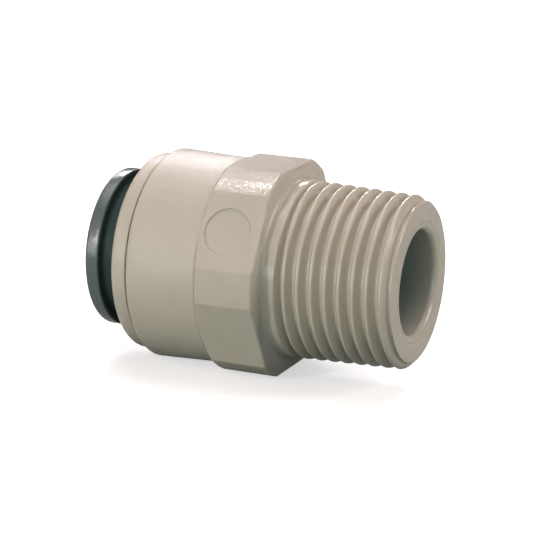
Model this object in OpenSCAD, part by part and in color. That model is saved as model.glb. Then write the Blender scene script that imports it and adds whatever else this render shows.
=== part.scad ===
// Push-fit straight adapter: a tube socket with a sliding release collet on one end,
// a wrench hexagon, and a tapered male pipe thread on the other end.
// All parts share one axis, along X. The origin is on that axis, in the plane of the
// hexagon's shoulder. The threaded end is towards +X, the tube enters from -X, and the
// part lies on one flat of its hexagon. Sizes are in millimetres.

/* [Tube] */
// Outside diameter of the tube that the socket takes
tube_d = 12; // [11.6:0.1:12.4]
// Radial gap between the tube and the collet's collar
tube_clearance = 0.1; // [0.08:0.01:0.2]

/* [Thread] */
// Distance between neighbouring crests
thread_pitch = 1.337; // [1.2:0.001:1.5]
// Crest diameter in the gauge plane
thread_gauge_d = 16.662; // [16:0.001:17.4]
// Distance of the gauge plane from the end face
thread_gauge_len = 5.2; // [5.1:0.1:7.7]
// Length of the thread and its neck, from the shoulder to the end face
thread_len = 12.5; // [10:0.1:16]
// Length of the smooth neck between the shoulder and the thread
neck_len = 1.2; // [0.8:0.1:2]
// Concave radius where the neck meets the shoulder
neck_fillet = 0.4; // [0.1:0.05:0.5]
// Where the first crest lies on the +Y side, measured from the shoulder
thread_phase = 0.24; // [0:0.01:1]
// Outside diameter of the flat end face, inside its chamfer
end_face_d = 15; // [14:0.1:15.6]

/* [Flow bore] */
// Diameter of the waterway through the threaded end
flow_bore_d = 9.9; // [8:0.1:10.6]
// Radius of the rounded lip at the waterway's mouth
flow_lip = 0.65; // [0.2:0.05:0.9]

/* [Hexagon] */
// Width across the flats
hex_af = 19.8; // [18.6:0.1:20.4]
// Diameter of the turned corners
hex_corner_d = 21.2; // [20.8:0.1:22]
// Length of the hexagon along the axis
hex_len = 6.1; // [5.5:0.1:9]
// How far the corners are eased at both ends of the hexagon, on the radius
hex_ease = 0.13; // [0.05:0.01:0.25]
// Diameter of the plain round recess in one flat
mark_d = 4.54; // [3:0.02:4.7]
// Depth of that recess
mark_depth = 0.14; // [0.05:0.01:0.3]
// Distance of the recess from the middle of the flat, towards the mouth
mark_offset = 0.35; // [0:0.05:0.6]

/* [Barrel] */
// Outside diameter of the barrel at its mouth
barrel_d = 20.5; // [20:0.1:21.5]
// Outside diameter of the barrel where it meets the hexagon
barrel_root_d = 20; // [19.6:0.1:20.4]
// Length of the barrel
barrel_len = 7.35; // [7.1:0.05:10]
// Radius of the rounded outer edge at the mouth
barrel_round = 0.55; // [0.2:0.05:0.8]

/* [Socket] */
// Radial gap between the tube and the close bore that steadies it
socket_clearance = 0.05; // [0.02:0.01:0.07]
// Length of the close bore that steadies the tube below the seal
socket_len = 3.55; // [2:0.05:5]
// Distance of the tube stop from the shoulder, towards the mouth
tube_stop_depth = 0.55; // [0.2:0.05:2]
// Diameter of the seat that the cap's spigot is pressed into
cap_seat_d = 17.5; // [17.2:0.1:18]
// Depth of that seat from the mouth
cap_seat_len = 3.7; // [3.2:0.05:4.2]
// Radial room around the heads of the collet's fingers
chamber_gap = 0.4; // [0.2:0.05:0.5]

/* [Seal] */
// Section diameter of the sealing ring
seal_section = 1.86; // [1.6:0.02:2]
// How far the sealing ring grips the tube, on the radius
seal_squeeze = 0.08; // [0.04:0.01:0.15]
// Thickness of the washer between the sealing ring and the collet
washer_t = 0.8; // [0.5:0.05:1]
// Radial gap between the tube and the washer
washer_clearance = 0.3; // [0.2:0.01:0.4]

/* [End cap] */
// Outside diameter of the cap's rim
cap_d = 19.2; // [18.6:0.1:19.8]
// Length of the rim that shows in front of the barrel
cap_rim_len = 1.6; // [1.2:0.05:2.4]
// Radius of the rim's outer edge
cap_round = 0.6; // [0.2:0.05:0.9]
// Width of the fine joint line between the rim and the barrel
cap_line = 0.08; // [0.05:0.01:0.2]
// Length of the cap's straight guide for the collet
cap_guide_len = 2.5; // [2:0.1:3]

/* [Collet] */
// Outside diameter of the collet's flange
flange_d = 15.46; // [15.2:0.02:16.4]
// Thickness of the flange
flange_t = 1.45; // [1:0.05:2.2]
// Radius of the flange's edges
flange_round = 0.4; // [0.1:0.05:0.5]
// Radial wall of the collet's sleeve
sleeve_wall = 0.85; // [0.7:0.05:0.95]
// Radial height of the heads on the collet's fingers
head_h = 0.7; // [0.5:0.05:0.75]
// How far the fingers' bore is set back from the collar's
finger_relief = 0.2; // [0.17:0.01:0.3]
// Distance that the collet can be pushed in
collet_travel = 2.1; // [1.5:0.05:2.3]
// Width of the slots between the fingers
slot_w = 0.9; // [0.6:0.1:1.4]
// Length of the slots between the fingers
slot_len = 5.1; // [4:0.1:5.6]

/* [Grip teeth] */
// Thickness of a steel tooth
tooth_t = 0.26; // [0.15:0.01:0.35]
// How far a tooth reaches inside the tube's surface
tooth_bite = 0.15; // [0.05:0.01:0.3]
// Angle that one tooth spans around the axis
tooth_span = 26; // [16:1:30]

/* [Hidden] */

// Clearances and small constants
slide_gap = 0.08;
seat_gap = 0.02;
end_float = 0.1;
past = 1;
round_steps = 8;
smooth = 96;

// Whitworth form: flank angle, rounded crests and roots
flank_angle = 27.5;
thread_h = 0.6403 * thread_pitch;
crest_round = 0.1373 * thread_pitch;
crest_reach = crest_round * cos(flank_angle);
crest_drop = crest_round * (1 - sin(flank_angle));
thread_taper = 1 / 32;
fade_len = 0.5;
rows_per_pitch = 8;
steps_per_turn = 40;
row_snap = thread_pitch / rows_per_pitch / 3;
thread_rows = rows_per_pitch * ceil((thread_len - neck_len) / thread_pitch + 2);
core_wall = 0.3;
sleeve_bury = 0.35;

// Places along the axis
barrel_x = -hex_len;
mouth_x = barrel_x - barrel_len;
cap_rim_x = mouth_x - cap_line;
cap_face_x = cap_rim_x - cap_rim_len;
cap_seat_x = mouth_x + cap_seat_len;
cap_end_x = cap_seat_x - cap_line;
tube_stop_x = -tube_stop_depth;
socket_x = tube_stop_x - socket_len;
seal_x = socket_x - end_float - seal_section / 2;
washer_seat_x = seal_x - seal_section / 2 - end_float;
washer_x = washer_seat_x - washer_t;
flange_back_x = cap_face_x - collet_travel - end_float;
flange_face_x = flange_back_x - flange_t;
collet_end_x = washer_x - end_float - collet_travel;
slot_x = collet_end_x - slot_len;

// Radii about the axis
bore_r = tube_d / 2 + tube_clearance;
flow_r = flow_bore_d / 2;
seal_ring_r = tube_d / 2 - seal_squeeze + seal_section / 2;
seal_seat_r = seal_ring_r + seal_section / 2 + seat_gap;
sleeve_r = bore_r + sleeve_wall;
head_r = sleeve_r + head_h;
guide_r = sleeve_r + slide_gap;
chamber_r = head_r + chamber_gap;
cap_seat_r = cap_seat_d / 2;
spigot_r = cap_seat_r - seat_gap;
neck_r = crest_r(neck_len);
core_r = crest_r(thread_len) - thread_h - core_wall;
skin_r = core_r - sleeve_bury;

// The corners are eased by a sphere about the middle of the hexagon
corner_r = hex_corner_d / 2;
hex_middle_x = -hex_len / 2;
crown_r = norm([corner_r - hex_ease, hex_middle_x]);
mark_angle = 60;

// The cap's ramp, which squeezes the fingers when the tube pulls on them
ramp_x = cap_face_x + cap_guide_len;
ramp_slope = 0.31;
ramp_mouth_r = guide_r + (cap_end_x - ramp_x) * ramp_slope;
head_ramp_x = ramp_x + end_float;
head_x = head_ramp_x + head_h / ramp_slope;
nose_h = 0.55;
collar_x = slot_x - slot_w;

// The steel teeth lean inwards, towards the tube stop
teeth = 8;
tooth_set = 0.2;
tooth_inset = 0.7;
tooth_root_r = sleeve_r + tooth_set;
tooth_tip_r = tube_d / 2 - tooth_bite;
tooth_tip_x = collet_end_x - tooth_inset;
tooth_lean = 0.7;
tooth_root_x = tooth_tip_x - (tooth_root_r - tooth_tip_r) * tooth_lean;
tooth_width = tooth_t / cos(atan(tooth_lean));

grey = [0.72, 0.69, 0.62];
slate = [0.27, 0.32, 0.32];
steel = [0.75, 0.76, 0.78];
black = [0.08, 0.08, 0.08];

// Points of an arc in a profile, from angle a to angle b about the centre c
function arc(c, r, a, b) = [
    for (i = [0 : round_steps])
        let (t = a + (b - a) * i / round_steps)
        c + r * [cos(t), sin(t)]
];

// Crest radius of the tapered thread at a distance x from the shoulder
function crest_r(x) = thread_gauge_d / 2 + (thread_len - thread_gauge_len - x) * thread_taper;

function wrap(v, m) = v - m * floor(v / m);

// Depth of the groove at the distance u past a crest
function groove(u) =
    let (d = min(u, thread_pitch - u), e = thread_pitch / 2 - d)
    d < crest_reach ? crest_round - sqrt(crest_round * crest_round - d * d)
    : e < crest_reach ? thread_h - crest_round + sqrt(crest_round * crest_round - e * e)
    : crest_drop + (d - crest_reach) / tan(flank_angle);

// The groove runs out smoothly into the neck
function fade(x) =
    let (t = min(max((x - neck_len) / fade_len, 0), 1))
    t * t * (3 - 2 * t);

// Radius of the threaded surface at the distance x and the angle a
function thread_r(x, a) =
    min(
        crest_r(x) - fade(x) * groove(wrap(x - thread_phase - thread_pitch * a / 360, thread_pitch)),
        end_face_d / 2 + thread_len - x
    );

// Row i climbs with the helix as the column j goes round, and is cut at both ends,
// where a row that would come very close to the cut joins it
function thread_x(i, j) =
    let (x = neck_len + (i / rows_per_pitch + j / steps_per_turn - 1) * thread_pitch)
    x < neck_len + row_snap ? neck_len
    : x > thread_len - row_snap ? thread_len
    : x;

function thread_point(i, j) =
    let (x = thread_x(i, j), a = 360 * j / steps_per_turn, r = thread_r(x, a))
    [x, r * cos(a), r * sin(a)];

function ring_point(x, r, j) =
    let (a = 360 * j / steps_per_turn)
    [x, r * cos(a), r * sin(a)];

// A row that has gone once round goes on as the row one pitch further along
function thread_index(i, j) =
    j < steps_per_turn ? i * steps_per_turn + j
    : min(i + rows_per_pitch, thread_rows) * steps_per_turn;

// Revolves a profile of [radius, distance along the axis] about the X axis
module turned(points) {
    rotate([0, 90, 0])
        rotate_extrude($fn = smooth)
            polygon(points);
}

// A cylinder on the X axis, from x0 to x1
module bar(x0, x1, r) {
    translate([x0, 0, 0])
        rotate([0, 90, 0])
            cylinder(h = x1 - x0, r = r, $fn = smooth);
}

// The threaded skin: a helical outer surface on a plain tube that the core fills
module thread_skin() {
    outer = [
        for (i = [0 : thread_rows])
            for (j = [0 : steps_per_turn - 1])
                thread_point(i, j)
    ];
    near_ring = [for (j = [0 : steps_per_turn - 1]) ring_point(neck_len, skin_r, j)];
    far_ring = [for (j = [0 : steps_per_turn - 1]) ring_point(thread_len, skin_r, j)];
    near_start = len(outer);
    far_start = near_start + steps_per_turn;
    last_row = thread_rows * steps_per_turn;
    flanks = [
        for (i = [0 : thread_rows - 1])
            for (j = [0 : steps_per_turn - 1])
                let (
                    a = thread_index(i, j),
                    b = thread_index(i + 1, j),
                    c = thread_index(i + 1, j + 1),
                    d = thread_index(i, j + 1)
                )
                each [[a, b, c], [a, c, d]]
    ];
    ends = [
        for (j = [0 : steps_per_turn - 1])
            let (k = (j + 1) % steps_per_turn)
            each [
                [j, k, near_start + k],
                [j, near_start + k, near_start + j],
                [last_row + j, far_start + j, far_start + k],
                [last_row + j, far_start + k, last_row + k],
                [near_start + j, near_start + k, far_start + k],
                [near_start + j, far_start + k, far_start + j]
            ]
    ];
    polyhedron(concat(outer, near_ring, far_ring), concat(flanks, ends));
}

// The wrench hexagon, with turned corners that are eased at both ends
module hexagon() {
    intersection() {
        translate([barrel_x, 0, 0])
            rotate([0, 90, 0])
                rotate([0, 0, 30])
                    cylinder(h = hex_len, d = hex_af / cos(30), $fn = 6);
        bar(barrel_x, 0, corner_r);
        translate([hex_middle_x, 0, 0])
            sphere(r = crown_r, $fn = smooth);
    }
}

// The shallow round recess in the upper flat on the -Y side
module mark_recess() {
    rotate([mark_angle, 0, 0])
        translate([hex_middle_x - mark_offset, 0, hex_af / 2 - mark_depth])
            cylinder(h = mark_depth + past, d = mark_d, $fn = smooth);
}

module barrel() {
    turned(concat(
        [[0, barrel_x + past], [hex_af / 2 - past, barrel_x + past]],
        [[hex_af / 2 - past, barrel_x], [barrel_root_d / 2, barrel_x]],
        arc([barrel_d / 2 - barrel_round, mouth_x + barrel_round], barrel_round, 0, -90),
        [[0, mouth_x]]
    ));
}

// The neck and the plain core under the thread
module thread_core() {
    turned(concat(
        [[0, hex_middle_x], [neck_r + neck_fillet, hex_middle_x]],
        arc([neck_r + neck_fillet, neck_fillet], neck_fillet, 270, 180),
        [[neck_r, neck_len], [core_r, neck_len], [core_r, thread_len], [0, thread_len]]
    ));
}

// The stepped bore: cap seat, collet chamber, seal seat, tube socket and waterway
module body_bore() {
    bar(mouth_x - past, cap_seat_x, cap_seat_r);
    bar(mouth_x, washer_seat_x, chamber_r);
    bar(mouth_x, socket_x, seal_seat_r);
    bar(mouth_x, tube_stop_x, tube_d / 2 + socket_clearance);
    bar(mouth_x, thread_len + past, flow_r);
    turned(concat(
        [[0, thread_len - flow_lip]],
        arc([flow_r + flow_lip, thread_len - flow_lip], flow_lip, 180, 90),
        [[flow_r + flow_lip, thread_len + past], [0, thread_len + past]]
    ));
}

module body() {
    color(grey)
        difference() {
            union() {
                barrel();
                hexagon();
                thread_core();
                thread_skin();
            }
            body_bore();
            mark_recess();
        }
}

// The cap that closes the mouth: a rounded rim, a pressed spigot, a guide and a ramp
module end_cap() {
    color(grey)
        turned(concat(
            [[spigot_r, cap_end_x], [spigot_r, cap_rim_x], [cap_d / 2, cap_rim_x]],
            arc([cap_d / 2 - cap_round, cap_face_x + cap_round], cap_round, 0, -90),
            [
                [guide_r + slide_gap, cap_face_x],
                [guide_r, cap_face_x + slide_gap],
                [guide_r, ramp_x],
                [ramp_mouth_r, cap_end_x]
            ]
        ));
}

// The collet before it is slotted: flange, sleeve and conical heads
module collet_blank() {
    turned(concat(
        arc([bore_r + flange_round, flange_face_x + flange_round], flange_round, 180, 270),
        arc([flange_d / 2 - flange_round, flange_face_x + flange_round], flange_round, 270, 360),
        arc([flange_d / 2 - flange_round, flange_back_x - flange_round], flange_round, 0, 90),
        [
            [sleeve_r, flange_back_x],
            [sleeve_r, head_ramp_x],
            [head_r, head_x],
            [head_r, collet_end_x - nose_h],
            [head_r - nose_h, collet_end_x],
            [bore_r + finger_relief, collet_end_x],
            [bore_r + finger_relief, collar_x],
            [bore_r, collar_x]
        ]
    ));
}

module finger_slot() {
    translate([slot_x, -slot_w / 2, 0])
        cube([slot_len + past, slot_w, head_r + past]);
    translate([slot_x, 0, 0])
        cylinder(h = head_r + past, d = slot_w, $fn = smooth);
}

// A steel tooth, or with some play the pocket that holds it
module tooth(number, play) {
    span = tooth_span + 2 * play / tooth_root_r * 180 / PI;
    middle = (number - 0.5) * 360 / teeth;
    tip_r = play > 0 ? bore_r - past : tooth_tip_r;
    tip_x = tooth_root_x + (tooth_root_r - tip_r) * tooth_lean;
    rotate([0, 90, 0])
        rotate_extrude(angle = span, start = middle - span / 2, $fn = smooth)
            polygon([
                [tooth_root_r + play, tooth_root_x - play * (1 + tooth_lean)],
                [tooth_root_r + play, tooth_root_x + tooth_width + play * (1 - tooth_lean)],
                [tip_r, tip_x + tooth_width + play],
                [tip_r, tip_x - play]
            ]);
}

module collet() {
    color(slate)
        difference() {
            collet_blank();
            for (i = [0 : teeth - 1])
                rotate([i * 360 / teeth, 0, 0])
                    finger_slot();
            for (i = [1 : teeth])
                tooth(i, seat_gap);
        }
}

module grip_tooth(number) {
    color(steel)
        tooth(number, 0);
}

module o_ring() {
    color(black)
        translate([seal_x, 0, 0])
            rotate([0, 90, 0])
                rotate_extrude($fn = smooth)
                    translate([seal_ring_r, 0])
                        circle(d = seal_section, $fn = smooth);
}

module spacer_washer() {
    color(grey)
        difference() {
            bar(washer_x, washer_seat_x, chamber_r - seat_gap);
            bar(washer_x - past, washer_seat_x + past, tube_d / 2 + washer_clearance);
        }
}

body();
end_cap();
collet();
o_ring();
spacer_washer();
grip_tooth(1);  // grip_tooth_1
grip_tooth(2);  // grip_tooth_2
grip_tooth(3);  // grip_tooth_3
grip_tooth(4);  // grip_tooth_4
grip_tooth(5);  // grip_tooth_5
grip_tooth(6);  // grip_tooth_6
grip_tooth(7);  // grip_tooth_7
grip_tooth(8);  // grip_tooth_8
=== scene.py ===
"""Looks of the push-fit straight adapter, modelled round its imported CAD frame.

The axis of the part is X, the thread points along +X, the tube enters from -X.
All lengths are in metres.
"""
import math

import bmesh
import bpy
import numpy as np
from bpy.props import FloatProperty, FloatVectorProperty, IntProperty, PointerProperty
from mathutils import Matrix, Vector


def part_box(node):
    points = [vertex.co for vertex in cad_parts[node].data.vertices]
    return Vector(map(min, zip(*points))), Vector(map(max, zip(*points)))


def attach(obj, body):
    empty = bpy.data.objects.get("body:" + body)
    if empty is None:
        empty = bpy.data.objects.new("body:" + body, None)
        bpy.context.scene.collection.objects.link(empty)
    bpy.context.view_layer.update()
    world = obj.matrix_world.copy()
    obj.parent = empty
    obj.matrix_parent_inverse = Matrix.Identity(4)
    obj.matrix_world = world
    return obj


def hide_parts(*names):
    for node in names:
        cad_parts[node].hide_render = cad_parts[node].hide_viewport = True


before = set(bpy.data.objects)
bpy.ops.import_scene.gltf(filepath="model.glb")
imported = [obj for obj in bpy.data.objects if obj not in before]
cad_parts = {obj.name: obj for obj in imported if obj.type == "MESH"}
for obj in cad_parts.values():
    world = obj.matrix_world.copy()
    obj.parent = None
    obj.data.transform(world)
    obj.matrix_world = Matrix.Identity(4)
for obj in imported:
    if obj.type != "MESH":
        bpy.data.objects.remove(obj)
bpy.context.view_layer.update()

bl_info = {
    "name": "Push-fit straight adapter",
    "version": (1, 0, 0),
    "blender": (4, 5, 0),
    "location": "3D View > Sidebar > Adapter",
    "description": "Models and finishes a push-fit straight adapter on its CAD frame",
    "category": "Object",
}

MM = 0.001
MERGE = 0.0008 * MM

# Boxes of the CAD solids that the pieces replace
BODY_LOW, BODY_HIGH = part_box("body")
CAP_LOW, CAP_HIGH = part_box("end_cap")
COLLET_LOW, COLLET_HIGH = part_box("collet")
RING_LOW, RING_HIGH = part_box("o_ring")
WASHER_LOW, WASHER_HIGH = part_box("spacer_washer")

FLOOR = -10.25 * MM
# The point that the lamps are aimed at
MIDDLE = Vector((-3 * MM, 0, 0))

# Columns round a spun piece and round a small one inside, rows in one pitch of the thread
COLUMNS = 240
INNER_COLUMNS = 120
THREAD_ROWS = 22
# Flats of the hexagon
FLATS = 6
# Length of the blank that becomes the hexagon's end towards the barrel, and its rows
HEX_RISE = 0.5 * MM
RISE_ROWS = 8
# Shares of those rows on the short wall and on the wall and cone together
WALL_SHARE, CONE_SHARE = 0.06, 0.25
# Half angle of the thread's flanks, and its depth and rounding as shares of the pitch
FLANK = math.radians(27.5)
DEPTH_SHARE, ROUND_SHARE = 0.6403, 0.1373
# Change of the thread's diameter along the axis
TAPER = 1 / 16


class AdapterBodySettings(bpy.types.PropertyGroup):
    hex_length: FloatProperty(
        name="Hexagon length", description="Length of the wrench hexagon",
        default=6.1 * MM, min=5 * MM, max=9 * MM, unit="LENGTH")
    hex_flats: FloatProperty(
        name="Across flats", description="Width of the hexagon across its flats",
        default=19.8 * MM, min=18 * MM, max=20.5 * MM, unit="LENGTH")
    hex_corners: FloatProperty(
        name="Across corners", description="Diameter of the turned corners",
        default=21.18 * MM, min=20.5 * MM, max=22 * MM, unit="LENGTH")
    end_round: FloatProperty(
        name="End rounding", description="Radius of the rounded edges at the hexagon's two ends",
        default=0.28 * MM, min=0.05 * MM, max=0.4 * MM, unit="LENGTH")
    ridge_round: FloatProperty(
        name="Ridge rounding", description="Blend between the flats and the turned corners",
        default=0.035 * MM, min=0.01 * MM, max=0.1 * MM, unit="LENGTH")
    barrel_mouth: FloatProperty(
        name="Barrel mouth", description="Diameter of the barrel at its mouth",
        default=20.42 * MM, min=19 * MM, max=21 * MM, unit="LENGTH")
    barrel_root: FloatProperty(
        name="Barrel root", description="Diameter of the barrel next to the hexagon",
        default=19.94 * MM, min=19 * MM, max=20.5 * MM, unit="LENGTH")
    seam_depth: FloatProperty(
        name="Seam depth", description="Depth of the crease between the barrel and the hexagon",
        default=0.07 * MM, min=0.01 * MM, max=0.2 * MM, unit="LENGTH")
    barrel_round: FloatProperty(
        name="Mouth rounding", description="Radius of the barrel's outer mouth edge",
        default=0.55 * MM, min=0.2 * MM, max=0.8 * MM, unit="LENGTH")
    mark_diameter: FloatProperty(
        name="Mark diameter", description="Diameter of the plain round recess on a flat",
        default=4.54 * MM, min=2 * MM, max=5 * MM, unit="LENGTH")
    mark_depth: FloatProperty(
        name="Mark depth", description="Depth of the plain round recess",
        default=0.19 * MM, min=0.05 * MM, max=0.3 * MM, unit="LENGTH")
    colour: FloatVectorProperty(
        name="Body colour", description="Colour of the moulded body and cap",
        subtype="COLOR", size=3, min=0, max=1, default=(0.50, 0.455, 0.375))


class AdapterThreadSettings(bpy.types.PropertyGroup):
    pitch: FloatProperty(
        name="Pitch", description="Distance between neighbouring crests",
        default=1.337 * MM, min=1 * MM, max=1.6 * MM, unit="LENGTH")
    gauge_diameter: FloatProperty(
        name="Gauge diameter", description="Crest diameter in the gauge plane",
        default=16.662 * MM, min=16 * MM, max=17.5 * MM, unit="LENGTH")
    gauge_length: FloatProperty(
        name="Gauge length", description="Distance of the gauge plane from the end face",
        default=5.2 * MM, min=5 * MM, max=8 * MM, unit="LENGTH")
    neck: FloatProperty(
        name="Neck length", description="Length of the smooth neck below the thread",
        default=1.2 * MM, min=0.8 * MM, max=2 * MM, unit="LENGTH")
    phase: FloatProperty(
        name="Phase", description="Place of the first crest on the +Y side",
        default=0.24 * MM, min=0, max=1 * MM, unit="LENGTH")
    end_face: FloatProperty(
        name="End face", description="Outside diameter of the flat end face",
        default=15 * MM, min=14 * MM, max=15.6 * MM, unit="LENGTH")


class AdapterColletSettings(bpy.types.PropertyGroup):
    fingers: IntProperty(
        name="Fingers", description="Number of slotted fingers",
        default=8, min=4, max=12)
    slot_width: FloatProperty(
        name="Slot width", description="Width of the slots between the fingers",
        default=0.9 * MM, min=0.5 * MM, max=1.5 * MM, unit="LENGTH")
    colour: FloatVectorProperty(
        name="Collet colour", description="Colour of the moulded collet",
        subtype="COLOR", size=3, min=0, max=1, default=(0.100, 0.130, 0.124))


class AdapterStageSettings(bpy.types.PropertyGroup):
    camera_azimuth: FloatProperty(
        name="Camera azimuth", description="Direction of the camera round the object",
        default=math.radians(23.49), subtype="ANGLE")
    camera_elevation: FloatProperty(
        name="Camera elevation", description="Height of the camera above the horizon",
        default=math.radians(14.55), subtype="ANGLE")
    camera_roll: FloatProperty(
        name="Camera roll", description="Lean of the camera to its left",
        default=math.radians(1.145), subtype="ANGLE")
    camera_distance: FloatProperty(
        name="Camera distance", description="Distance from the camera to the object",
        default=201.9 * MM, unit="LENGTH")


def settings():
    return bpy.context.scene.push_fit_adapter


class AdapterSettings(bpy.types.PropertyGroup):
    body: PointerProperty(type=AdapterBodySettings)
    thread: PointerProperty(type=AdapterThreadSettings)
    collet: PointerProperty(type=AdapterColletSettings)
    stage: PointerProperty(type=AdapterStageSettings)


# Modelling helpers


def arc(x, r, radius, start, end, steps=6):
    """Points of (distance along the axis, radius) on an arc round (x, r).

    The angles are in degrees from the radial direction towards +X.
    """
    angles = [math.radians(start + (end - start) * i / steps) for i in range(steps + 1)]
    return [(x + radius * math.sin(a), r + radius * math.cos(a)) for a in angles]


def start_piece(name):
    """A new mesh in edit mode that holds one point, at the origin."""
    bpy.ops.object.select_all(action="DESELECT")
    bpy.ops.mesh.primitive_plane_add(size=MM, location=(0, 0, 0))
    piece = bpy.context.object
    piece.name = piece.data.name = name
    bpy.ops.object.mode_set(mode="EDIT")
    bpy.ops.mesh.select_mode(type="VERT")
    bpy.ops.mesh.select_all(action="SELECT")
    bpy.ops.mesh.merge(type="CENTER")
    return piece


def spun_piece(
        name, profile, columns=COLUMNS, axis=(1, 0, 0), outwards=(0, 0, 1), centre=(0, 0, 0)):
    """Draws a closed profile by extruding one point, and spins it round the axis.

    The profile holds pairs of (distance along the axis from the centre, radius).
    """
    piece = start_piece(name)
    places = [x * np.array(axis) + r * np.array(outwards) for x, r in profile]
    bpy.ops.transform.translate(value=tuple(places[0] + centre))
    for here, there in zip(places, places[1:] + places[:1]):
        bpy.ops.mesh.extrude_region_move(TRANSFORM_OT_translate={"value": tuple(there - here)})
    bpy.ops.mesh.select_all(action="SELECT")
    bpy.ops.mesh.remove_doubles(threshold=MERGE)
    bpy.ops.mesh.spin(steps=columns, angle=2 * math.pi, center=centre, axis=axis)
    bpy.ops.mesh.select_all(action="SELECT")
    bpy.ops.mesh.remove_doubles(threshold=MERGE)
    bpy.ops.mesh.normals_make_consistent(inside=False)
    bpy.ops.object.mode_set(mode="OBJECT")
    return piece


def points_of(piece):
    """The places of a piece's points, one row each."""
    co = np.zeros(len(piece.data.vertices) * 3)
    piece.data.vertices.foreach_get("co", co)
    return co.reshape(-1, 3)


def set_points(piece, co):
    piece.data.vertices.foreach_set("co", co.ravel())
    piece.data.update()


def polar(co):
    """Distance along the axis, radius and angle of each point."""
    return co[:, 0], np.hypot(co[:, 1], co[:, 2]), np.arctan2(co[:, 2], co[:, 1])


def from_polar(x, r, a):
    return np.stack([x, r * np.cos(a), r * np.sin(a)], 1)


def select_edges(piece, test):
    """Goes into edit mode with only the edges that pass the test selected."""
    bpy.ops.object.mode_set(mode="EDIT")
    bpy.ops.mesh.select_mode(type="EDGE")
    bpy.ops.mesh.select_all(action="DESELECT")
    bm = bmesh.from_edit_mesh(piece.data)
    for edge in bm.edges:
        if test(edge.verts[0].co, edge.verts[1].co):
            edge.select = True
    bm.select_flush_mode()
    bmesh.update_edit_mesh(piece.data)


def bevel_selected(width, segments):
    """Rounds the selected edges and goes back to object mode."""
    bpy.ops.mesh.bevel(
        offset_type="OFFSET", offset=width, segments=segments, profile=0.5,
        affect="EDGES", clamp_overlap=False, loop_slide=True)
    bpy.ops.object.mode_set(mode="OBJECT")


def pick(piece):
    """Selects one piece alone and makes it active."""
    bpy.ops.object.select_all(action="DESELECT")
    piece.select_set(True)
    bpy.context.view_layer.objects.active = piece


def cut(piece, cutter):
    """Takes the cutter out of the piece and deletes it."""
    pick(piece)
    before = len(piece.data.vertices)
    modifier = piece.modifiers.new("Cut", "BOOLEAN")
    modifier.operation = "DIFFERENCE"
    modifier.solver = "EXACT"
    modifier.object = cutter
    bpy.ops.object.modifier_apply(modifier=modifier.name)
    bpy.data.objects.remove(cutter)
    if len(piece.data.vertices) == before:
        raise RuntimeError(piece.name + " was not cut")


def smooth_piece(piece, angle, weighted=True):
    """Smooths the shading of edges up to the angle in degrees."""
    pick(piece)
    bpy.ops.object.shade_smooth_by_angle(angle=math.radians(angle))
    if weighted:
        modifier = piece.modifiers.new("Weighted", "WEIGHTED_NORMAL")
        modifier.mode = "FACE_AREA"
        modifier.keep_sharp = True
        bpy.ops.object.modifier_apply(modifier=modifier.name)


def finish_piece(piece, body, node, material):
    """Gives the piece its material, its body and the CAD node that it stands for."""
    pick(piece)
    bpy.ops.object.transform_apply(location=True, rotation=True, scale=True)
    piece.data.materials.clear()
    piece.data.materials.append(material)
    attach(piece, body)
    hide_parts(node)


# Shader helpers


class Graph:
    """Adds nodes to a tree from left to right."""

    def __init__(self, tree):
        self.tree = tree
        self.step = 0

    def add(self, kind, inputs=None, **values):
        node = self.tree.nodes.new(kind)
        self.step += 1
        node.location = (self.step * 190, -(self.step % 4) * 160)
        for key, value in values.items():
            setattr(node, key, value)
        for key, value in (inputs or {}).items():
            self.feed(node.inputs[key], value)
        return node

    def feed(self, socket, value):
        if isinstance(value, bpy.types.NodeSocket):
            self.tree.links.new(value, socket)
        else:
            socket.default_value = value

    def math(self, operation, a, b=0.0):
        return self.add("ShaderNodeMath", {0: a, 1: b}, operation=operation).outputs[0]

    def ramp(self, value, low, high):
        """A smooth step from 0 at low to 1 at high."""
        node = self.add(
            "ShaderNodeMapRange", {"Value": value, "From Min": low, "From Max": high},
            interpolation_type="SMOOTHSTEP")
        return node.outputs["Result"]

    def mix(self, factor, a, b):
        node = self.add("ShaderNodeMix", data_type="RGBA")
        for label, value in (("Factor", factor), ("A", a), ("B", b)):
            self.feed(node.inputs[label], value)
        return node.outputs["Result"]

    def noise(self, vector, scale, detail=2.0, roughness=0.5):
        node = self.add(
            "ShaderNodeTexNoise",
            {"Vector": vector, "Scale": scale, "Detail": detail, "Roughness": roughness})
        return node.outputs["Fac"]

    def spot(self, place, middle, radius, blur):
        """Mask of a round spot on the surface. Middle, radius and blur are in millimetres."""
        apart = self.add(
            "ShaderNodeVectorMath", {0: place, 1: [c * MM for c in middle]}, operation="DISTANCE")
        return self.ramp(apart.outputs["Value"], (radius + blur / 2) * MM, (radius - blur / 2) * MM)

    def seam(self, place, start, end, width):
        """Mask of a straight line between two points of a face across the axis, in millimetres."""
        start, end = Vector(start) * MM, Vector(end) * MM
        half, along, axis = (end - start).length / 2, (end - start).normalized(), Vector((1, 0, 0))
        local = self.add("ShaderNodeVectorMath", {0: place, 1: start}, operation="SUBTRACT")
        measures = []
        for direction in (along, along.cross(axis), axis):
            dot = self.add(
                "ShaderNodeVectorMath", {0: local.outputs["Vector"], 1: direction},
                operation="DOT_PRODUCT")
            measures.append(dot.outputs["Value"])
        from_middle = self.math("ABSOLUTE", self.math("SUBTRACT", measures[0], half))
        thin = self.ramp(self.math("ABSOLUTE", measures[1]), width * MM, 0.0)
        long = self.ramp(from_middle, half + 0.1 * MM, half - 0.1 * MM)
        near = self.ramp(self.math("ABSOLUTE", measures[2]), 0.3 * MM, 0.1 * MM)
        return self.math("MULTIPLY", self.math("MULTIPLY", thin, long), near)


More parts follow.
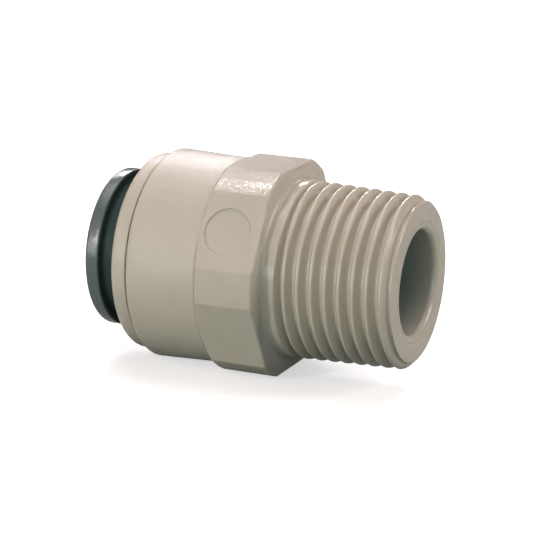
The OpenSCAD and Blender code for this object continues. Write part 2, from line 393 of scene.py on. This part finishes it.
def new_group(name, inputs, outputs):
    """An empty shader group with named sockets. Each entry is (name, kind, default)."""
    group = bpy.data.node_groups.new(name, "ShaderNodeTree")
    for label, kind, default in inputs:
        socket = group.interface.new_socket(label, in_out="INPUT", socket_type=kind)
        if default is not None:
            socket.default_value = default
    for label, kind in outputs:
        group.interface.new_socket(label, in_out="OUTPUT", socket_type=kind)
    graph = Graph(group)
    return graph, graph.add("NodeGroupInput")


def close_group(graph, results):
    end = graph.add("NodeGroupOutput")
    for label, value in results.items():
        graph.feed(end.inputs[label], value)
    return graph.tree


def grain_group():
    """Fine spark-eroded grain of a mould wall."""
    g, start = new_group(
        "Mould grain",
        [("Vector", "NodeSocketVector", None), ("Size", "NodeSocketFloat", 0.0002)],
        [("Height", "NodeSocketFloat"), ("Mask", "NodeSocketFloat")])
    scale = g.math("DIVIDE", 1.0, start.outputs["Size"])
    fine = g.noise(start.outputs["Vector"], scale, 2.0, 0.55)
    coarse = g.noise(start.outputs["Vector"], g.math("MULTIPLY", scale, 0.4), 2.0, 0.5)
    pits = g.ramp(coarse, 0.35, 0.7)
    height = g.math("ADD", g.math("MULTIPLY", fine, 0.82), g.math("MULTIPLY", pits, 0.18))
    return close_group(g, {"Height": height, "Mask": pits})


def wear_group():
    """Handling marks: fine scratches and a faint cloudy soiling."""
    g, start = new_group(
        "Handling marks",
        [("Vector", "NodeSocketVector", None), ("Amount", "NodeSocketFloat", 1.0)],
        [(label, "NodeSocketFloat") for label in ("Scratches", "Clouds", "Specks")])
    vector = start.outputs["Vector"]
    stretched = g.add(
        "ShaderNodeMapping",
        {"Vector": vector, "Rotation": (0.4, 0.7, 0.3), "Scale": (160, 2600, 1900)})
    lines = g.noise(stretched.outputs["Vector"], 1.0, 2.0, 0.6)
    thin = g.ramp(g.math("ABSOLUTE", g.math("SUBTRACT", lines, 0.5)), 0.012, 0.0)
    where = g.ramp(g.noise(vector, 330.0, 2.0), 0.60, 0.70)
    scratches = g.math("MULTIPLY", g.math("MULTIPLY", thin, where), start.outputs["Amount"])
    clouds = g.noise(vector, 260.0, 4.0, 0.6)
    dots = g.add("ShaderNodeTexVoronoi", {"Vector": vector, "Scale": 900.0, "Randomness": 1.0})
    few = g.ramp(g.noise(vector, 700.0, 0.0), 0.66, 0.68)
    specks = g.math("MULTIPLY", g.ramp(dots.outputs["Distance"], 0.10, 0.06), few)
    return close_group(g, {"Scratches": scratches, "Clouds": clouds, "Specks": specks})


def group_node(graph, group, inputs):
    node = graph.add("ShaderNodeGroup", node_tree=group)
    for label, value in inputs.items():
        graph.feed(node.inputs[label], value)
    return node


def new_material(name):
    material = bpy.data.materials.new(name)
    material.use_nodes = True
    material.node_tree.nodes.clear()
    graph = Graph(material.node_tree)
    coordinates = graph.add("ShaderNodeTexCoord")
    return material, graph, coordinates.outputs["Object"]


def close_material(material, graph, inputs, constants):
    shader = graph.add("ShaderNodeBsdfPrincipled", {**inputs, **constants})
    graph.add("ShaderNodeOutputMaterial", {"Surface": shader.outputs[0]})
    return material


def shade(colour, factor):
    return (*[min(1.0, c * factor) for c in colour], 1.0)


def moulded_surface(g, place, colour, grained, scratched):
    """Colour, grain height and grain mask of a moulded plastic wall."""
    grain, marks = shared_groups()
    fine = group_node(g, grain, {"Vector": place, "Size": 0.15 * MM})
    wear = group_node(g, marks, {"Vector": place, "Amount": scratched})
    clouds = g.ramp(wear.outputs["Clouds"], 0.3, 0.7)
    base = g.mix(clouds, shade(colour, 0.97), shade(colour, 1.03))
    scuffed = g.mix(g.math("MULTIPLY", wear.outputs["Scratches"], 0.3), base, shade(colour, 1.3))
    speckled = g.mix(g.math("MULTIPLY", wear.outputs["Specks"], 0.5), scuffed, shade(colour, 0.35))
    share = g.math("ADD", g.math("MULTIPLY", grained, 0.985), 0.015)
    height = g.math("MULTIPLY", fine.outputs["Height"], share)
    height = g.math("SUBTRACT", height, g.math("MULTIPLY", wear.outputs["Scratches"], 0.08))
    return speckled, height, g.math("MULTIPLY", fine.outputs["Mask"], grained)


def skin_shader(material, g, base, rough, height, gloss, depth, soft):
    """A plastic whose grain shows in its shine much more than in its body colour."""
    deep = g.add("ShaderNodeBump", {"Height": height, "Strength": 1.0, "Distance": depth})
    faint = g.add("ShaderNodeBump", {"Height": height, "Strength": 1.0, "Distance": depth * 0.08})
    return close_material(
        material, g,
        {"Base Color": base, "Normal": faint.outputs["Normal"], "Coat Weight": gloss,
         "Coat Roughness": rough, "Coat Normal": deep.outputs["Normal"]},
        {"Roughness": 0.5, "Specular IOR Level": 0.0, "Coat IOR": 1.48, "Subsurface Weight": soft,
         "Subsurface Radius": (0.4 * MM, 0.32 * MM, 0.25 * MM), "Subsurface Scale": 1.0})


def body_material(name, colour):
    """Grained outside as far as the shoulder, polished on the thread, the end face and bores."""
    material, g, place = new_material(name)
    parts = g.add("ShaderNodeSeparateXYZ", {"Vector": place})
    x = parts.outputs["X"]
    across = g.add("ShaderNodeCombineXYZ", {"Y": parts.outputs["Y"], "Z": parts.outputs["Z"]})
    radius = g.add("ShaderNodeVectorMath", {0: across.outputs["Vector"]}, operation="LENGTH")
    # Mask of the painted shade in the waterway, none at the end face and full deeper in
    bore = g.ramp(radius.outputs["Value"], 5.5 * MM, 5.0 * MM)
    inside = g.math("MULTIPLY", bore, g.ramp(x, 12.4 * MM, 8.5 * MM))
    grained = g.ramp(x, 0.0, -0.15 * MM)
    # The hexagon is coarser than the barrel
    back = -settings().body.hex_length
    hexagon = g.ramp(x, back - 0.1 * MM, back + 0.1 * MM)
    coarse = g.math("MULTIPLY", grained, g.math("ADD", 0.36, g.math("MULTIPLY", hexagon, 0.64)))
    rubbed = g.spot(place, (-7.2, -7.1, 7.0), 1.3, 0.6)
    scratched = g.math("MAXIMUM", g.math("MULTIPLY", grained, 0.3), rubbed)
    base, height, _ = moulded_surface(g, place, colour, coarse, scratched)
    # Painted shade: the waterway's wall is coloured darker and cooler deeper in the bore, where
    # shade falls
    base = g.mix(inside, base, shade([c * k for c, k in zip(colour, (0.46, 0.58, 0.62))], 1.0))
    # A knit line on the end face, a dark speck on the shoulder and a nick in the cap
    knit = g.seam(place, (12.5, 2.86, 6.87), (12.5, 2.51, 5.12), 0.05)
    base = g.mix(g.math("MULTIPLY", knit, 0.45), base, shade(colour, 0.5))
    base = g.mix(g.spot(place, (0, -4.79, -6.99), 0.13, 0.07), base, shade(colour, 0.3))
    base = g.mix(g.spot(place, (-14.99, -8.08, 5.19), 0.14, 0.06), base, shade(colour, 1.7))
    height = g.math("SUBTRACT", height, g.math("MULTIPLY", knit, 0.15))
    rough = g.math("SUBTRACT", 0.19, g.math("MULTIPLY", grained, 0.08))
    return skin_shader(material, g, base, rough, height, 1.0, 0.22 * MM, 0.25)


def collet_material(name, colour):
    """Grained flange, and a dull sleeve past it, coloured near black with painted shade for the gap
    between the flange and the cap.
    """
    # Painted shade: the sleeve between the flange and the cap is coloured dark green-black, as if
    # the gap were in shade
    sleeve_painted_shade_colour = (0.031, 0.056, 0.052, 1)
    material, g, place = new_material(name)
    x = g.add("ShaderNodeSeparateXYZ", {"Vector": place}).outputs["X"]
    sleeve_painted_shade = g.ramp(x, COLLET_LOW.x + 1.3 * MM, COLLET_LOW.x + 1.46 * MM)
    rubbed = g.spot(place, (-16.9, -6.1, -3.6), 1.0, 0.4)
    scratched = g.math("MAXIMUM", 0.35, rubbed)
    base, height, mask = moulded_surface(g, place, colour, 1.0, scratched)
    # Painted shade on the sleeve past the flange; the same mask also dulls the coat there
    base = g.mix(sleeve_painted_shade, base, sleeve_painted_shade_colour)
    rough = g.math("ADD", 0.11, g.math("MULTIPLY", mask, 0.05))
    rough = g.math("ADD", rough, g.math("MULTIPLY", sleeve_painted_shade, 0.3))
    gloss = g.math("SUBTRACT", 1.0, g.math("MULTIPLY", sleeve_painted_shade, 0.8))
    return skin_shader(material, g, base, rough, height, gloss, 0.03 * MM, 0.05)


def rubber_material():
    """Black rubber with a little dust."""
    material, g, place = new_material("Seal rubber")
    wear = group_node(g, shared_groups()[1], {"Vector": place, "Amount": 0.6})
    fine = g.noise(place, 6000.0, 2.0)
    clouds = g.ramp(wear.outputs["Clouds"], 0.3, 0.7)
    base = g.mix(clouds, (0.012, 0.012, 0.013, 1), (0.022, 0.022, 0.023, 1))
    dusty = g.mix(g.math("MULTIPLY", wear.outputs["Scratches"], 0.4), base, (0.09, 0.09, 0.085, 1))
    bumped = g.add("ShaderNodeBump", {"Height": fine, "Strength": 0.5, "Distance": 0.01 * MM})
    rough = g.math("ADD", 0.42, g.math("MULTIPLY", wear.outputs["Clouds"], 0.2))
    return close_material(
        material, g,
        {"Base Color": dusty, "Roughness": rough, "Normal": bumped.outputs["Normal"]}, {"IOR": 1.5})


def steel_material():
    """Stainless sheet steel, brushed along the axis."""
    material, g, place = new_material("Stamped steel")
    wear = group_node(g, shared_groups()[1], {"Vector": place, "Amount": 1.0})
    along = g.add("ShaderNodeMapping", {"Vector": place, "Scale": (900, 9000, 9000)})
    grain = g.noise(along.outputs["Vector"], 1.0, 3.0, 0.7)
    base = g.mix(grain, (0.5, 0.5, 0.51, 1), (0.66, 0.66, 0.67, 1))
    worn = g.mix(g.math("MULTIPLY", wear.outputs["Specks"], 0.5), base, (0.25, 0.24, 0.22, 1))
    rough = g.math("ADD", 0.26, g.math("MULTIPLY", grain, 0.16))
    bumped = g.add("ShaderNodeBump", {"Height": grain, "Strength": 0.4, "Distance": 0.008 * MM})
    return close_material(
        material, g,
        {"Base Color": worn, "Roughness": rough, "Normal": bumped.outputs["Normal"]},
        {"Metallic": 1.0})


def floor_material():
    """White to the camera, pale in reflections, dark where it bounces light."""
    material, g, place = new_material("Studio floor")
    rays = g.add("ShaderNodeLightPath")
    seen = g.math("MAXIMUM", rays.outputs["Is Camera Ray"], rays.outputs["Is Transmission Ray"])
    paper = g.noise(place, 900.0, 2.0)
    pale = g.mix(paper, (0.80, 0.80, 0.795, 1), (0.83, 0.83, 0.825, 1))
    shown = g.math("MAXIMUM", seen, g.math("MULTIPLY", rays.outputs["Is Glossy Ray"], 0.5))
    colour = g.mix(shown, (0.09, 0.12, 0.105, 1), pale)
    lit = g.add("ShaderNodeBsdfDiffuse", {"Color": colour})
    strength = g.math("MULTIPLY", seen, 0.55)
    glow = g.add("ShaderNodeEmission", {"Color": (1, 1, 1, 1), "Strength": strength})
    both = g.add("ShaderNodeAddShader", {0: lit.outputs[0], 1: glow.outputs[0]})
    g.add("ShaderNodeOutputMaterial", {"Surface": both.outputs[0]})
    return material


def shared_groups():
    """The grain and wear groups, built at the first call."""
    found = bpy.data.node_groups
    return found.get("Mould grain") or grain_group(), found.get("Handling marks") or wear_group()


def plastic(kind):
    """The material of the body and cap, or of the collet."""
    found = bpy.data.materials.get(kind)
    if found:
        return found
    if kind == "Collet plastic":
        return collet_material(kind, settings().collet.colour)
    return body_material(kind, settings().body.colour)


# The moulded body


def hex_radius(a):
    """Distance of the hexagon's outline from the axis at the angle a, with softened ridges."""
    s = settings().body
    sector = math.radians(360 / FLATS)
    from_flat = (a + math.radians(90) + sector / 2) % sector - sector / 2
    flat, corner = s.hex_flats / 2 / np.cos(from_flat), s.hex_corners / 2
    blend = np.maximum(s.ridge_round - np.abs(flat - corner), 0) ** 2 / (4 * s.ridge_round)
    return np.minimum(flat, corner) - blend


def crest_radius(x):
    """Radius of the taper thread's crests at x."""
    s = settings().thread
    return s.gauge_diameter / 2 + (BODY_HIGH.x - s.gauge_length - x) * TAPER / 2


def thread_radius(x, a):
    """Radius of the threaded surface, with rounded crests and roots, at x and the angle a."""
    s = settings().thread
    depth, ball = DEPTH_SHARE * s.pitch, ROUND_SHARE * s.pitch
    reach, drop = ball * math.cos(FLANK), ball * (1 - math.sin(FLANK))
    u = np.mod(x - s.phase - s.pitch * a / (2 * math.pi), s.pitch)
    d = np.minimum(u, s.pitch - u)
    e = s.pitch / 2 - d
    groove = drop + (d - reach) / math.tan(FLANK)
    groove = np.where(d < reach, ball - np.sqrt(np.maximum(ball ** 2 - d ** 2, 0)), groove)
    groove = np.where(e < reach, depth - ball + np.sqrt(np.maximum(ball ** 2 - e ** 2, 0)), groove)
    t = np.clip((x - s.neck) / (0.5 * MM), 0, 1)
    return crest_radius(x) - t * t * (3 - 2 * t) * groove


def gather_columns(piece):
    """Moves the columns of a spun piece closer together along the hexagon's ridges."""
    s = settings().body
    x, r, a = polar(points_of(piece))
    sector = 360 / FLATS
    ridge = math.degrees(math.acos(s.hex_flats / s.hex_corners))
    turn = (np.degrees(a) + 90 + sector / 2) % sector - sector / 2
    # Angles from the middle of a flat, before and after
    even = np.array([0, 18, 27, 30])
    drawn = np.array([0, ridge - 0.9, ridge + 0.9, 30])
    moved = np.sign(turn) * np.interp(np.abs(turn), even, drawn)
    set_points(piece, from_polar(x, r, a + np.radians(moved - turn)))


def press_hexagon(piece):
    """Presses the turned blank between the barrel and the shoulder into the hexagon."""
    s = settings().body
    x, r, a = polar(points_of(piece))
    back, foot = -s.hex_length, s.barrel_root / 2 - s.seam_depth
    outline = hex_radius(a)
    head = (x > back - MERGE) & (x < MERGE) & (r > foot + MERGE)
    wall = head & (x < back + HEX_RISE + MERGE)
    side = head & ~wall
    # A short wall, then a 30 degree cone that takes the ridges down towards the barrel, then a
    # rounded edge
    t = np.clip((x - back) / HEX_RISE, 0, 1)
    low = t <= CONE_SHARE
    bottom = np.minimum(np.maximum(s.hex_flats / 2 - 0.05 * MM, foot), outline)
    climb = outline - bottom
    lead = climb * math.tan(math.radians(30))
    soft = 0.57 * s.end_round
    share = np.minimum(soft / np.maximum(np.hypot(lead, climb), soft), 1)
    turn = np.clip((t - CONE_SHARE) / (1 - CONE_SHARE), 0, 1)
    first, last = (1 - turn) ** 2, turn ** 2
    cone_x = back + lead * (1 - share) * t / CONE_SHARE
    cone_r = np.minimum(foot + (bottom - foot) * t / WALL_SHARE, bottom)
    cone_r += climb * (1 - share) * t / CONE_SHARE
    edge_x = back + lead * (1 - share * first) + soft * last
    edge_r = outline - climb * share * first
    new_x, new_r = x.copy(), r.copy()
    new_x[wall] = np.where(low, cone_x, edge_x)[wall]
    new_r[wall] = np.where(low, cone_r, edge_r)[wall]
    start = back + lead + soft
    along = (x - back - HEX_RISE) / (s.hex_length - HEX_RISE)
    new_x[side] = (start - along * start)[side]
    new_r[side] = outline[side]
    set_points(piece, from_polar(new_x, new_r, a))


def round_shoulder(piece):
    """Rounds the outline of the hexagon's shoulder."""
    inside = settings().body.hex_flats / 2 - MERGE

    def wanted(p, q):
        at_shoulder = abs(p.x) < MERGE and abs(q.x) < MERGE
        return at_shoulder and min(math.hypot(p.y, p.z), math.hypot(q.y, q.z)) > inside

    select_edges(piece, wanted)
    bevel_selected(settings().body.end_round, 4)


def cut_mark(piece):
    """A shallow plain round recess in the upper front flat."""
    s = settings().body
    r, depth = s.mark_diameter / 2, s.mark_depth
    soft, above = 0.3 * depth, 0.4 * MM
    # Section of the cutter from the recess's bottom to its rounded rim, with heights over the flat
    profile = [
        (-depth, 0), (-depth, r - 0.12 * MM), (-depth, r - soft - 0.25 * depth),
        (-depth + soft * 0.3, r - 0.5 * soft - 0.2 * depth), (-depth + soft, r - 0.15 * depth),
        (-soft, r - 0.02 * depth), (-soft * 0.3, r + 0.25 * soft), (0, r + soft),
        (above, r + soft + 0.2 * MM), (above, 0)]
    lean = math.radians(30)
    normal = np.array((0, -math.cos(lean), math.sin(lean)))
    centre = (-3.4 * MM, 0, 0) + normal * s.hex_flats / 2
    cutter = spun_piece("mark_cutter", profile, 96, tuple(normal), (1, 0, 0), tuple(centre))
    cut(piece, cutter)


def body_profile():
    """Half section of the body blank, once round, as (distance along the axis, radius)."""
    s, t = settings().body, settings().thread
    mouth, end = BODY_LOW.x + 0.22 * MM, BODY_HIGH.x
    back, corner = -s.hex_length, s.hex_corners / 2
    barrel, root = s.barrel_mouth / 2, s.barrel_root / 2
    foot, before = root - s.seam_depth, back - 0.25 * MM
    # Radii of the CAD body's bores, from the mouth inwards
    cap_seat, chamber, seal_seat = 8.75 * MM, 8.05 * MM, 7.8 * MM
    socket, flow = 6.05 * MM, 4.95 * MM
    cap_stop, washer_stop = BODY_LOW.x + 3.7 * MM, WASHER_HIGH.x
    tube_stop, seal_stop = -0.55 * MM, RING_HIGH.x + 0.1 * MM
    lip, edge, small = 0.65 * MM, 0.4 * MM, 0.1 * MM
    points = arc(mouth + s.barrel_round, barrel - s.barrel_round, s.barrel_round, -90, 0, 8)
    for i in range(1, 5):
        x = mouth + s.barrel_round + (before - mouth - s.barrel_round) * i / 4
        points.append((x, barrel - (barrel - root) * i / 4))
    points += [(back - 0.13 * MM, root - 0.15 * s.seam_depth)]
    points += [(back - 0.05 * MM, root - 0.5 * s.seam_depth), (back, foot)]
    for i in range(1, RISE_ROWS + 1):
        step = i / RISE_ROWS
        points.append((back + HEX_RISE * step, foot + (corner - foot) * step))
    for i in range(1, 7):
        points.append((back + HEX_RISE + (s.hex_length - HEX_RISE) * i / 6, corner))
    neck = float(crest_radius(t.neck))
    fillet = 0.4 * MM
    points += [(0, corner - 0.9 * MM)]
    points += arc(fillet, neck + fillet, fillet, 270, 180, 6)
    rows = round((end - t.neck) / (t.pitch / THREAD_ROWS))
    for i in range(rows):
        x = t.neck + (end - t.neck - 0.1 * MM) * i / (rows - 1)
        points.append((x, min(float(crest_radius(x)), t.end_face / 2 + end - x)))
    points += arc(end - edge, t.end_face / 2 - 0.414 * edge, edge, 45, 90, 6)[1:]
    # A fine crease where the face meets the rounded lip of the waterway
    points += [(end, flow + lip + 0.5 * MM), (end, flow + lip + 0.16 * MM)]
    points += [(end - 0.035 * MM, flow + lip + 0.08 * MM)]
    for i in range(9):
        a = math.radians(90 * i / 8)
        points.append((end - lip + lip * math.cos(a), flow + lip - lip * math.sin(a)))
    for i in range(1, 7):
        points.append((end - lip + (tube_stop + small - end + lip) * i / 6, flow))
    points += [
        (tube_stop, flow + small), (tube_stop, socket - small), (tube_stop - small, socket),
        (seal_stop + small, socket), (seal_stop, socket + small), (seal_stop, seal_seat - small),
        (seal_stop - small, seal_seat), (washer_stop, seal_seat), (washer_stop, chamber),
        (cap_stop, chamber), (cap_stop, cap_seat), (mouth + small, cap_seat),
        (mouth, cap_seat + small)]
    return points


def cut_thread(piece):
    """Cuts the groove: every point beyond the neck goes in to the threaded surface."""
    t = settings().thread
    x, r, a = polar(points_of(piece))
    a = np.mod(a, 2 * math.pi)
    outside = (x > t.neck) & (r > t.end_face / 2 - 0.001 * MM)
    deep = thread_radius(x, a)
    r = np.where(outside, np.minimum(r, deep), r)
    set_points(piece, from_polar(x, r, a))


class ADAPTER_OT_body(bpy.types.Operator):
    """Models the moulded body with its barrel, hexagon and pipe thread"""
    bl_idname = "adapter.body"
    bl_label = "Moulded body"

    def execute(self, context):
        piece = spun_piece("moulded_body", body_profile())
        gather_columns(piece)
        press_hexagon(piece)
        cut_mark(piece)
        round_shoulder(piece)
        cut_thread(piece)
        smooth_piece(piece, 32)
        finish_piece(piece, "fitting", "body", plastic("Body plastic"))
        return {"FINISHED"}


class ADAPTER_OT_cap(bpy.types.Operator):
    """Models the cap that closes the barrel's mouth"""
    bl_idname = "adapter.cap"
    bl_label = "End cap"

    def execute(self, context):
        face, stop = CAP_LOW.x, CAP_HIGH.x
        rim_back, ramp_length, slope = face + 1.68 * MM, 2.8 * MM, 0.31
        rim, spigot, guide = CAP_HIGH.z, 8.73 * MM, 7.03 * MM
        ramp, outer, small = guide + ramp_length * slope, 0.7 * MM, 0.08 * MM
        points = arc(face + outer, rim - outer, outer, -90, 0, 8)
        points += arc(rim_back - small, rim - small, small, 0, 90, 3)
        points += [(rim_back, spigot), (stop - small, spigot), (stop, spigot - small)]
        points += [(stop, ramp + small), (stop - small, ramp), (face + 2.5 * MM, guide)]
        points += [(face + 1.2 * MM, guide)]
        points += arc(face + 0.15 * MM, guide + 0.15 * MM, 0.15 * MM, 180, 270, 4)
        piece = spun_piece("cap_ring", points)
        smooth_piece(piece, 35)
        finish_piece(piece, "fitting", "end_cap", plastic("Body plastic"))
        return {"FINISHED"}


class ADAPTER_OT_collet(bpy.types.Operator):
    """Models the release collet with its slotted fingers"""
    bl_idname = "adapter.collet"
    bl_label = "Release collet"

    def execute(self, context):
        s = settings().collet
        face, end = COLLET_LOW.x, COLLET_HIGH.x
        flange, bore, sleeve, head = COLLET_HIGH.z, 6.1 * MM, 6.95 * MM, 7.65 * MM
        back, edge, soft, small = face + 1.49 * MM, 0.38 * MM, 0.26 * MM, 0.08 * MM
        relief, nose, collar = 0.2 * MM, 0.55 * MM, face + 3.62 * MM
        ramp_start, ramp_end = face + 6.25 * MM, face + 8.51 * MM
        points = arc(face + edge, flange - edge, edge, -90, 0, 7)
        points += arc(back - soft, flange - soft, soft, 0, 90, 7)
        points += arc(back + 0.15 * MM, sleeve + 0.15 * MM, 0.15 * MM, 270, 180, 4)
        points += [
            (ramp_start, sleeve), (ramp_end - small, head - small * 0.31), (ramp_end + small, head),
            (end - nose, head), (end, head - nose), (end, bore + relief),
            (collar, bore + relief), (collar - small, bore)]
        points += arc(face + edge, bore + edge, edge, 180, 270, 7)
        piece = spun_piece("release_collet_sleeve", points)
        slots = s.fingers // 2
        for i in range(slots):
            cut(piece, self.slot_cutter(end, s.slot_width, i * math.pi / slots))
        smooth_piece(piece, 35)
        finish_piece(
            piece, "release_collet", "collet", plastic("Collet plastic"))
        return {"FINISHED"}

    def slot_cutter(self, end, width, turn):
        """A long bar with a round end, right across the sleeve, that cuts two slots."""
        start = end - 5.1 * MM
        bpy.ops.object.select_all(action="DESELECT")
        bpy.ops.mesh.primitive_cylinder_add(
            vertices=32, radius=width / 2, depth=20 * MM,
            location=(start + width / 2, 0, 0), rotation=(turn, 0, 0))
        cutter = bpy.context.object
        bpy.ops.object.mode_set(mode="EDIT")
        bpy.ops.mesh.select_mode(type="VERT")
        bpy.ops.mesh.select_all(action="DESELECT")
        bm = bmesh.from_edit_mesh(cutter.data)
        for point in bm.verts:
            point.select = point.co.x > -MERGE
        bm.select_flush_mode()
        bmesh.update_edit_mesh(cutter.data)
        bpy.ops.transform.translate(value=(end - start + 1 * MM, 0, 0))
        bpy.ops.object.mode_set(mode="OBJECT")
        return cutter


class ADAPTER_OT_seal(bpy.types.Operator):
    """Models the sealing ring"""
    bl_idname = "adapter.seal"
    bl_label = "Sealing ring"

    def execute(self, context):
        section = (RING_HIGH.x - RING_LOW.x) / 2
        middle, radius = (RING_HIGH.x + RING_LOW.x) / 2, RING_HIGH.z - section
        profile = [
            (middle + section * math.cos(a), radius + section * math.sin(a))
            for a in np.linspace(0, 2 * math.pi, 24, endpoint=False)]
        piece = spun_piece("seal_ring", profile, INNER_COLUMNS)
        smooth_piece(piece, 60, weighted=False)
        finish_piece(piece, "fitting", "o_ring", rubber_material())
        return {"FINISHED"}


class ADAPTER_OT_washer(bpy.types.Operator):
    """Models the washer between the sealing ring and the collet"""
    bl_idname = "adapter.washer"
    bl_label = "Washer"

    def execute(self, context):
        low, high, small = WASHER_LOW.x, WASHER_HIGH.x, 0.08 * MM
        outside, inside = WASHER_HIGH.z, 6.3 * MM
        profile = [
            (low + small, outside), (high - small, outside), (high, outside - small),
            (high, inside + small), (high - small, inside), (low + small, inside),
            (low, inside + small), (low, outside - small)]
        piece = spun_piece("seal_washer", profile, INNER_COLUMNS)
        smooth_piece(piece, 50)
        finish_piece(piece, "fitting", "spacer_washer", plastic("Body plastic"))
        return {"FINISHED"}


class ADAPTER_OT_teeth(bpy.types.Operator):
    """Finishes the steel grip teeth in the collet's fingers"""
    bl_idname = "adapter.teeth"
    bl_label = "Grip teeth"

    def execute(self, context):
        steel = steel_material()
        teeth = [node for name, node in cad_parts.items() if name.startswith("grip_tooth")]
        if not teeth:
            raise RuntimeError("The frame has no grip teeth")
        for tooth in teeth:
            tooth.data.materials.clear()
            tooth.data.materials.append(steel)
        return {"FINISHED"}


# Name, place, width and height, power in watts and colour of each lamp
LAMPS = (
    ("Top softbox", (-0.04, 0.06, 0.46), (0.54, 0.34), 1.24, (1.0, 0.93, 0.94)),
    ("Top lamp", (-0.19, 0.10, 0.42), (0.04, 0.03), 0.11, (1.0, 0.92, 0.94)),
    ("Back softbox", (-0.19, 0.36, 0.26), (0.40, 0.05), 0.90, (1.0, 0.94, 1.0)),
    ("Back lamp", (-0.17, 0.34, 0.24), (0.10, 0.03), 0.34, (1.0, 0.94, 1.0)),
    ("Front softbox", (-0.10, -0.38, 0.28), (0.45, 0.20), 0.34, (1.0, 0.72, 0.62)),
    ("Front panel", (-0.10, -0.45, 0.04), (0.45, 0.10), 0.68, (0.81, 0.95, 0.87)),
    ("Front lamp", (-0.154, -0.348, 0.121), (0.03, 0.025), 0.40, (1.0, 0.85, 0.90)),
    ("Low left light", (-0.33, -0.34, 0.04), (0.25, 0.07), 0.27, (1.0, 0.95, 0.86)),
    ("End light", (0.42, 0.12, 0.20), (0.25, 0.22), 1.18, (1.0, 0.88, 0.82)),
    ("Near end light", (0.36, -0.34, 0.12), (0.25, 0.20), 0.50, (0.77, 0.93, 1.0)))


class ADAPTER_OT_stage(bpy.types.Operator):
    """Sets up the floor, the studio light and the camera"""
    bl_idname = "adapter.stage"
    bl_label = "Stage"

    def execute(self, context):
        self.add_floor()
        self.add_world(context)
        self.add_lights()
        self.add_camera(context)
        context.scene.view_settings.view_transform = "Standard"
        return {"FINISHED"}

    def add_floor(self):
        bpy.ops.object.select_all(action="DESELECT")
        bpy.ops.mesh.primitive_plane_add(size=6, location=(0, 0, FLOOR))
        floor = bpy.context.object
        floor.name = "studio_floor"
        bpy.ops.object.transform_apply(location=True, rotation=True, scale=True)
        floor.data.materials.append(floor_material())

    def add_world(self, context):
        world = bpy.data.worlds.new("Studio")
        context.scene.world = world
        world.use_nodes = True
        world.node_tree.nodes.clear()
        g = Graph(world.node_tree)
        rays = g.add("ShaderNodeLightPath")
        seen = g.math("MAXIMUM", rays.outputs["Is Camera Ray"], rays.outputs["Is Transmission Ray"])
        light = g.mix(rays.outputs["Is Glossy Ray"], (0.03, 0.03, 0.03, 1), (0.2, 0.2, 0.2, 1))
        light = g.mix(seen, light, (1, 1, 1, 1))
        back = g.add("ShaderNodeBackground", {"Color": light, "Strength": 1.0})
        g.add("ShaderNodeOutputWorld", {"Surface": back.outputs[0]})

    def add_lights(self):
        for name, place, size, power, colour in LAMPS:
            self.add_light(name, place, size, power, colour)

    def add_light(self, name, place, size, power, colour):
        bpy.ops.object.select_all(action="DESELECT")
        bpy.ops.object.light_add(type="AREA", location=place)
        lamp = bpy.context.object
        lamp.name = lamp.data.name = name
        lamp.data.shape = "RECTANGLE"
        lamp.data.size, lamp.data.size_y = size
        lamp.data.energy = power
        lamp.data.color = colour
        aim = MIDDLE - Vector(place)
        lamp.rotation_euler = aim.to_track_quat("-Z", "Y").to_euler()

    def add_camera(self, context):
        s = settings().stage
        a, e = s.camera_azimuth, s.camera_elevation
        back = Vector((math.sin(a) * math.cos(e), -math.cos(a) * math.cos(e), math.sin(e)))
        level = (-back).to_track_quat("-Z", "Y").to_matrix()
        turn = level @ Matrix.Rotation(s.camera_roll, 3, "Z")
        # Pixels of the picture's width and of the focal length, and how far the point on the axis
        # lies to the left of the middle and above it
        frame_width, focal, left, above = 533, 2100, 0.6, 2.9
        sensor = 36
        shift = Vector((-left, above, 0)) / focal * s.camera_distance
        target = Vector((-3.15 * MM, 0, 0)) - turn @ shift
        bpy.ops.object.select_all(action="DESELECT")
        bpy.ops.object.camera_add(location=target + back * s.camera_distance)
        camera = bpy.context.object
        camera.rotation_euler = turn.to_euler()
        camera.data.sensor_width = sensor
        camera.data.lens = sensor * focal / frame_width
        camera.data.clip_start, camera.data.clip_end = 0.01, 20
        context.scene.camera = camera


PIECES = (
    ADAPTER_OT_body, ADAPTER_OT_cap, ADAPTER_OT_collet, ADAPTER_OT_seal, ADAPTER_OT_washer,
    ADAPTER_OT_teeth, ADAPTER_OT_stage)


class ADAPTER_PT_panel(bpy.types.Panel):
    bl_label = "Push-fit adapter"
    bl_space_type = "VIEW_3D"
    bl_region_type = "UI"
    bl_category = "Adapter"

    def draw(self, context):
        for piece in PIECES:
            self.layout.operator(piece.bl_idname)


CLASSES = (
    AdapterBodySettings, AdapterThreadSettings, AdapterColletSettings, AdapterStageSettings,
    AdapterSettings, *PIECES, ADAPTER_PT_panel)


def register():
    for item in CLASSES:
        bpy.utils.register_class(item)
    bpy.types.Scene.push_fit_adapter = PointerProperty(type=AdapterSettings)


def unregister():
    del bpy.types.Scene.push_fit_adapter
    for item in reversed(CLASSES):
        bpy.utils.unregister_class(item)


def main():
    register()
    bpy.ops.adapter.body()
    bpy.ops.adapter.cap()
    bpy.ops.adapter.collet()
    bpy.ops.adapter.seal()
    bpy.ops.adapter.washer()
    bpy.ops.adapter.teeth()
    bpy.ops.adapter.stage()


if __name__ == "__main__":
    main()
